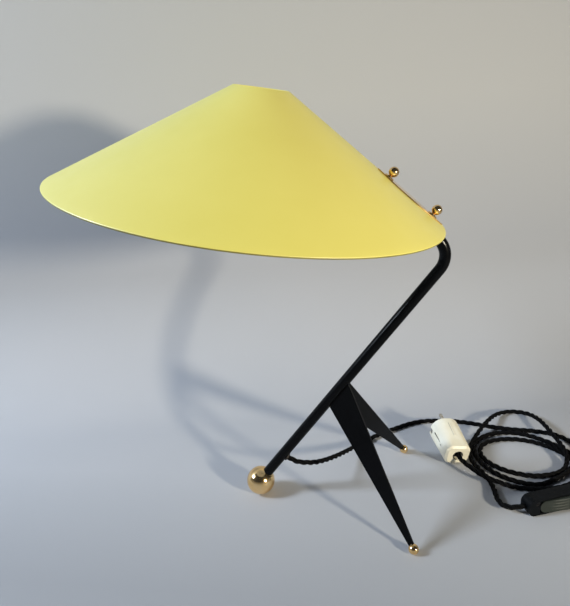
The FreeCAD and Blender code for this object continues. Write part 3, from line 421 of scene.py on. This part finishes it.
# ---------------------------------------------------------------- materials
class Shader:
    """A material with one Principled shader, and short calls that add nodes to it."""

    def __init__(self, name, color, roughness, metallic=0.0, **sockets):
        self.material = bpy.data.materials.new(name)
        self.material.use_nodes = True
        self.tree = self.material.node_tree
        self.shader = self.tree.nodes["Principled BSDF"]
        self.shader.inputs["Base Color"].default_value = (*color, 1)
        self.shader.inputs["Roughness"].default_value = roughness
        self.shader.inputs["Metallic"].default_value = metallic
        for socket, value in sockets.items():
            self.shader.inputs[socket.replace("_", " ")].default_value = value

    def add(self, kind, links=(), **values):
        node = self.tree.nodes.new(kind)
        for key, value in values.items():
            setattr(node, key, value)
        for target, source in dict(links).items():
            if isinstance(source, bpy.types.NodeSocket):
                self.tree.links.new(source, node.inputs[target])
            else:
                node.inputs[target].default_value = source
        return node

    def link(self, source, socket):
        self.tree.links.new(source, self.shader.inputs[socket])

    def place(self):
        return self.add("ShaderNodeTexCoord").outputs["Object"]

    def stretched(self, scale):
        node = self.add("ShaderNodeVectorMath", {0: self.place(), 1: scale}, operation="MULTIPLY")
        return node.outputs[0]

    def noise(self, scale, detail=3.0, vector=None):
        vector = self.place() if vector is None else vector
        node = self.add("ShaderNodeTexNoise", {"Vector": vector, "Scale": scale, "Detail": detail})
        return node.outputs["Fac"]

    def ramp(self, factor, low, high, start=0.3, end=0.7):
        """Maps start..end of a factor to low..high, numbers or colours."""
        if isinstance(low, (int, float)):
            node = self.add("ShaderNodeMapRange",
                            {"Value": factor, "From Min": start, "From Max": end,
                             "To Min": low, "To Max": high})
            return node.outputs["Result"]
        node = self.add("ShaderNodeValToRGB", {"Fac": factor})
        node.color_ramp.elements[0].position, node.color_ramp.elements[1].position = start, end
        node.color_ramp.elements[0].color, node.color_ramp.elements[1].color = (*low, 1), (*high, 1)
        return node.outputs["Color"]

    def math(self, operation, *values):
        return self.add("ShaderNodeMath", dict(enumerate(values)), operation=operation).outputs[0]

    def mix(self, factor, first, second):
        node = self.add("ShaderNodeMix", data_type="RGBA")
        self.tree.links.new(factor, node.inputs["Factor"])
        for socket, value in ((node.inputs[6], first), (node.inputs[7], second)):
            if isinstance(value, bpy.types.NodeSocket):
                self.tree.links.new(value, socket)
            else:
                socket.default_value = (*value, 1)
        return node.outputs[2]

    def bump(self, height, strength, distance):
        node = self.add("ShaderNodeBump",
                        {"Height": height, "Strength": strength, "Distance": distance})
        self.link(node.outputs["Normal"], "Normal")


def black_enamel():
    s = Shader("black_enamel", (0.002, 0.002, 0.002), 0.20, Specular_IOR_Level=0.13)
    cloud = s.noise(28.0, 4.0)
    s.link(s.ramp(cloud, (0.0008, 0.0009, 0.0011), (0.0018, 0.0019, 0.0023)), "Base Color")
    s.link(s.ramp(s.noise(160.0, 5.0), 0.16, 0.25), "Roughness")
    s.bump(s.noise(1400.0, 2.0), 0.12, 0.00003)
    return s.material


def polished_brass():
    s = Shader("polished_brass", (0.90, 0.60, 0.27), 0.12, 1.0)
    tarnish = s.noise(90.0, 5.0)
    s.link(s.ramp(tarnish, (0.85, 0.56, 0.23), (0.94, 0.68, 0.35)), "Base Color")
    scratches = s.noise(1.0, 4.0, s.stretched((2200.0, 260.0, 900.0)))
    s.link(s.ramp(scratches, 0.09, 0.20), "Roughness")
    s.bump(scratches, 0.05, 0.00002)
    return s.material


def shade_yellow():
    """Satin enamel, a little cloudy, with the fine unevenness of sprayed paint."""
    s = Shader("shade_yellow", (0.79, 0.71, 0.16), 0.50, Specular_IOR_Level=1.0, Coat_Weight=0.25,
               Coat_Roughness=0.24)
    s.link(s.ramp(s.noise(7.0, 3.0), (0.765, 0.685, 0.145), (0.815, 0.735, 0.18)), "Base Color")
    s.link(s.ramp(s.noise(60.0, 4.0), 0.46, 0.54), "Roughness")
    s.bump(s.noise(900.0, 3.0), 0.10, 0.00004)
    return s.material


def hem_painted_shade():
    """The roll's underside in a dark olive yellow: painted shade where it looks down."""
    s = Shader("hem_painted_shade", (0.26, 0.23, 0.05), 0.5)
    s.link(s.ramp(s.noise(40.0, 4.0), (0.20, 0.175, 0.035), (0.32, 0.285, 0.07)), "Base Color")
    s.bump(s.noise(900.0, 3.0), 0.10, 0.00004)
    return s.material


def shade_white():
    s = Shader("shade_white", (0.84, 0.84, 0.81), 0.45)
    s.link(s.ramp(s.noise(9.0, 3.0), (0.81, 0.81, 0.775), (0.86, 0.86, 0.835)), "Base Color")
    s.link(s.ramp(s.noise(60.0, 4.0), 0.40, 0.52), "Roughness")
    s.bump(s.noise(900.0, 3.0), 0.10, 0.00004)
    return s.material


def socket_brass():
    s = Shader("socket_brass", (0.62, 0.46, 0.20), 0.32, 1.0)
    s.link(s.ramp(s.noise(120.0, 5.0), (0.50, 0.36, 0.15), (0.68, 0.52, 0.25)), "Base Color")
    s.link(s.ramp(s.noise(400.0, 3.0), 0.26, 0.42), "Roughness")
    return s.material


def holder_shell():
    s = Shader("holder_shell", (0.02, 0.014, 0.011), 0.25, Coat_Weight=0.3)
    swirl = s.noise(45.0, 6.0)
    s.link(s.ramp(swirl, (0.012, 0.009, 0.008), (0.040, 0.024, 0.016), 0.35, 0.75), "Base Color")
    s.link(s.ramp(s.noise(300.0, 3.0), 0.20, 0.34), "Roughness")
    return s.material


def porcelain():
    s = Shader("porcelain", (0.80, 0.79, 0.74), 0.22, Coat_Weight=0.4)
    s.link(s.ramp(s.noise(150.0, 4.0), (0.74, 0.72, 0.66), (0.84, 0.83, 0.79)), "Base Color")
    s.bump(s.noise(500.0, 2.0), 0.08, 0.00005)
    return s.material


def lamp_cap_metal():
    s = Shader("lamp_cap_metal", (0.72, 0.72, 0.71), 0.33, 1.0)
    s.link(s.ramp(s.noise(200.0, 4.0), (0.62, 0.62, 0.61), (0.78, 0.78, 0.77)), "Base Color")
    s.link(s.ramp(s.noise(700.0, 3.0), 0.26, 0.42), "Roughness")
    return s.material


def frosted_glass():
    s = Shader("frosted_glass", (0.93, 0.93, 0.91), 0.38, Transmission_Weight=0.55, IOR=1.45)
    s.link(s.ramp(s.noise(1500.0, 3.0), 0.32, 0.46), "Roughness")
    s.link(s.ramp(s.noise(18.0, 3.0), (0.90, 0.90, 0.88), (0.95, 0.95, 0.94)), "Base Color")
    return s.material


def black_rubber():
    s = Shader("black_rubber", (0.02, 0.018, 0.016), 0.7)
    s.link(s.ramp(s.noise(300.0, 4.0), (0.014, 0.012, 0.011), (0.035, 0.028, 0.024)), "Base Color")
    s.bump(s.noise(1200.0, 2.0), 0.2, 0.00005)
    return s.material


def cord_textile():
    """Braided cotton: threads that cross on the diagonal, a little paler where they are proud."""
    braid_turns = 0.8            # of the pattern to a millimetre along the cord
    s = Shader("cord_textile", (0.002, 0.002, 0.0024), 0.72, Specular_IOR_Level=0.08)
    uv = s.add("ShaderNodeSeparateXYZ", {0: s.add("ShaderNodeTexCoord").outputs["UV"]})
    around, along = uv.outputs[0], uv.outputs[1]
    turn = s.math("MULTIPLY", around, 2 * math.pi)
    run = s.math("MULTIPLY", along, 2 * math.pi * braid_turns)
    one = s.math("SINE", s.math("ADD", turn, run))
    two = s.math("SINE", s.math("SUBTRACT", turn, run))
    threads = s.math("MULTIPLY", s.math("ADD", s.math("MAXIMUM", one, two), 1.0), 0.5)
    fuzz = s.noise(2500.0, 3.0)
    height = s.math("ADD", threads, s.math("MULTIPLY", fuzz, 0.5))
    black = s.ramp(height, (0.0007, 0.0008, 0.001), (0.0034, 0.0036, 0.0042), 0.45, 1.3)
    s.link(black, "Base Color")
    s.link(s.ramp(fuzz, 0.62, 0.82), "Roughness")
    s.bump(height, 0.6, 0.00012)
    return s.material


def inner_textile():
    s = Shader("inner_textile", (0.012, 0.012, 0.012), 0.8)
    s.link(s.ramp(s.noise(900.0, 3.0), (0.008, 0.008, 0.008), (0.02, 0.019, 0.018)), "Base Color")
    s.bump(s.noise(2500.0, 2.0), 0.4, 0.0001)
    return s.material


def switch_plastic():
    s = Shader("switch_plastic", (0.002, 0.0027, 0.0036), 0.42, Specular_IOR_Level=0.1)
    s.link(s.ramp(s.noise(70.0, 4.0), (0.0014, 0.002, 0.0028), (0.003, 0.004, 0.0054)), "Base Color")
    s.link(s.ramp(s.noise(500.0, 4.0), 0.36, 0.52), "Roughness")
    s.bump(s.noise(2600.0, 2.0), 0.25, 0.00004)
    return s.material


def rocker_plastic():
    s = Shader("rocker_plastic", (0.025, 0.030, 0.026), 0.5, Specular_IOR_Level=0.25)
    s.link(s.ramp(s.noise(90.0, 4.0), (0.018, 0.022, 0.019), (0.032, 0.038, 0.033)), "Base Color")
    s.link(s.ramp(s.noise(400.0, 3.0), 0.42, 0.58), "Roughness")
    s.bump(s.noise(2600.0, 2.0), 0.2, 0.00004)
    return s.material


def steel():
    s = Shader("steel", (0.55, 0.55, 0.54), 0.35, 1.0)
    s.link(s.ramp(s.noise(250.0, 4.0), (0.45, 0.45, 0.44), (0.62, 0.62, 0.61)), "Base Color")
    s.link(s.ramp(s.noise(1.0, 3.0, s.stretched((3000.0, 300.0, 3000.0))), 0.28, 0.45), "Roughness")
    return s.material


def blackened_steel():
    s = Shader("blackened_steel", (0.02, 0.02, 0.022), 0.5, 1.0)
    s.link(s.ramp(s.noise(250.0, 4.0), (0.012, 0.012, 0.014), (0.035, 0.034, 0.034)), "Base Color")
    s.link(s.ramp(s.noise(1.0, 3.0, s.stretched((3000.0, 300.0, 3000.0))), 0.42, 0.6), "Roughness")
    return s.material


def plug_plastic():
    """Aged ivory plastic, with painted shade darkening its grooves and slot."""
    s = Shader("plug_plastic", (0.80, 0.76, 0.62), 0.36, Specular_IOR_Level=0.5)
    aged = s.ramp(s.noise(35.0, 4.0), (0.74, 0.69, 0.53), (0.83, 0.80, 0.68))
    # Painted shade: ambient occlusion turns the grooves and the slot dark brown.
    groove_shade = s.add("ShaderNodeAmbientOcclusion", {"Distance": 0.003}, samples=8, only_local=True)
    unshaded = s.ramp(groove_shade.outputs["AO"], 0.0, 1.0, 0.35, 0.8)
    s.link(s.mix(unshaded, (0.045, 0.036, 0.022), aged), "Base Color")
    s.link(s.ramp(s.noise(260.0, 4.0), 0.30, 0.46), "Roughness")
    s.bump(s.noise(1300.0, 3.0), 0.12, 0.00004)
    return s.material


def nickel():
    s = Shader("nickel", (0.70, 0.67, 0.60), 0.24, 1.0)
    s.link(s.ramp(s.noise(300.0, 5.0), (0.50, 0.46, 0.38), (0.76, 0.73, 0.67)), "Base Color")
    s.link(s.ramp(s.noise(1.0, 3.0, s.stretched((2500.0, 250.0, 2500.0))), 0.18, 0.34), "Roughness")
    return s.material


finishes = {
    "black_enamel": black_enamel(),
    "polished_brass": polished_brass(),
    "shade_enamel": shade_yellow(),
    "socket_brass": socket_brass(),
    "holder_shell": holder_shell(),
    "porcelain": porcelain(),
    "lamp_cap_metal": lamp_cap_metal(),
    "frosted_glass": frosted_glass(),
    "black_rubber": black_rubber(),
    "cord_textile": inner_textile(),
    "switch_plastic": switch_plastic(),
    "rocker_plastic": rocker_plastic(),
    "steel": steel(),
    "plug_plastic": plug_plastic(),
    "nickel": nickel(),
}
braid = cord_textile()
for piece in (lead, link):
    piece.data.materials.append(braid)
shade.data.materials.append(finishes["shade_enamel"])
shade.data.materials.append(shade_white())
# Slot 2 is the hem's underside in painted shade.
shade.data.materials.append(hem_painted_shade())
blackened = blackened_steel()
for part in frame["record"]["subparts"]:
    finish = blackened if part["node"] == "switch_screws" else finishes[part["material_slot"]]
    for place in nodes[part["node"]].material_slots:
        place.material = finish


# ---------------------------------------------------------------- floor, backdrop and light
def backdrop_paper():
    """Grey paper, with painted shade darker in front of the lamp and painted light paler high on the
    wall. It is clear from behind.
    """
    front_painted_shade, high_painted_light = (0.31, 0.32, 0.342), (0.50, 0.495, 0.485)
    s = Shader("backdrop_paper", (0.41, 0.418, 0.44), 0.85, Specular_IOR_Level=0.2)
    place = s.add("ShaderNodeSeparateXYZ", {0: s.place()}).outputs
    paper = s.ramp(s.noise(2.2, 3.0), (0.40, 0.41, 0.435), (0.43, 0.435, 0.455))
    # Painted shade towards the front of the floor and painted light high on the wall, set by place.
    depth = s.ramp(place["Y"], 0.0, 1.0, -0.16, 0.03)
    height = s.ramp(place["Z"], 0.0, 1.0, 0.22, 0.45)
    s.link(s.mix(height, s.mix(depth, front_painted_shade, paper), high_painted_light), "Base Color")
    s.bump(s.noise(9.0, 3.0), 0.06, 0.004)
    clear = s.add("ShaderNodeBsdfTransparent")
    back = s.add("ShaderNodeNewGeometry").outputs["Backfacing"]
    shown = s.add("ShaderNodeMixShader", {0: back, 1: s.shader.outputs[0], 2: clear.outputs[0]})
    s.tree.links.new(shown.outputs[0], s.tree.nodes["Material Output"].inputs["Surface"])
    return s.material


def make_backdrop():
    """A paper floor that sweeps up into a wall close behind the lamp, square to the view. Behind the
    wall, the floor goes on."""
    turn = 0.155                 # how far the wall is turned from the lamp's own plane
    start, bend, top = 0.158, 0.19, 2.4
    near, reach = -4.0, 4.0
    bend_steps = 20
    profile = [(near, 0.0), (start, 0.0)]
    for step in range(1, bend_steps + 1):
        angle = step / bend_steps * math.pi / 2
        profile.append((start + bend * math.sin(angle), bend - bend * math.cos(angle)))
    profile.append((start + bend, top))
    verts = []
    for depth, height in profile:
        for x in (-reach, reach):
            lean = turn if depth > 0 else 0.0
            verts.append((x * math.cos(lean) - depth * math.sin(lean),
                          x * math.sin(lean) + depth * math.cos(lean), height))
    faces = [(i, i + 1, i + 3, i + 2) for i in range(0, len(verts) - 2, 2)]
    verts += [verts[2], verts[3]]
    verts += [(x - reach * math.sin(turn), reach * math.cos(turn), 0.0) for x in (-reach, reach)]
    faces.append((len(verts) - 4, len(verts) - 3, len(verts) - 1, len(verts) - 2))
    mesh = bpy.data.meshes.new("backdrop")
    mesh.from_pydata(verts, [], faces)
    mesh.polygons.foreach_set("use_smooth", [True] * len(mesh.polygons))
    backdrop = bpy.data.objects.new("backdrop", mesh)
    scene.collection.objects.link(backdrop)
    mesh.materials.append(backdrop_paper())


aim = Vector((0.05, 0, 0.2))     # what the lights point at


def make_light(name, place, size, power, color, spread):
    data = bpy.data.lights.new(name, "AREA")
    data.shape = "DISK"
    data.size = size
    data.energy = power
    data.color = color
    data.spread = math.radians(spread)
    light = bpy.data.objects.new(name, data)
    light.location = place
    light.rotation_euler = (aim - Vector(place)).to_track_quat("-Z", "Y").to_euler()
    scene.collection.objects.link(light)


def make_world():
    """Weak light from all round: pale near the horizon, dark overhead."""
    horizon, overhead = (0.27, 0.287, 0.31, 1), (0.035, 0.038, 0.043, 1)
    world = bpy.data.worlds.new("world")
    scene.world = world
    world.use_nodes = True
    tree = world.node_tree
    way = tree.nodes.new("ShaderNodeSeparateXYZ")
    tree.links.new(tree.nodes.new("ShaderNodeTexCoord").outputs["Generated"], way.inputs[0])
    rise = tree.nodes.new("ShaderNodeValToRGB")
    rise.color_ramp.elements[0].position, rise.color_ramp.elements[1].position = 0.06, 0.30
    rise.color_ramp.elements[0].color, rise.color_ramp.elements[1].color = horizon, overhead
    tree.links.new(way.outputs["Z"], rise.inputs["Fac"])
    room = tree.nodes["Background"]
    tree.links.new(rise.outputs["Color"], room.inputs["Color"])


make_backdrop()
make_light("window_right", (1.176, -0.936, 0.527), 0.14, 8.4, (1.0, 0.92, 0.74), 110)
make_light("window_left", (-1.93, -0.46, 1.42), 0.60, 66.0, (0.76, 0.865, 1.0), 180)
make_world()
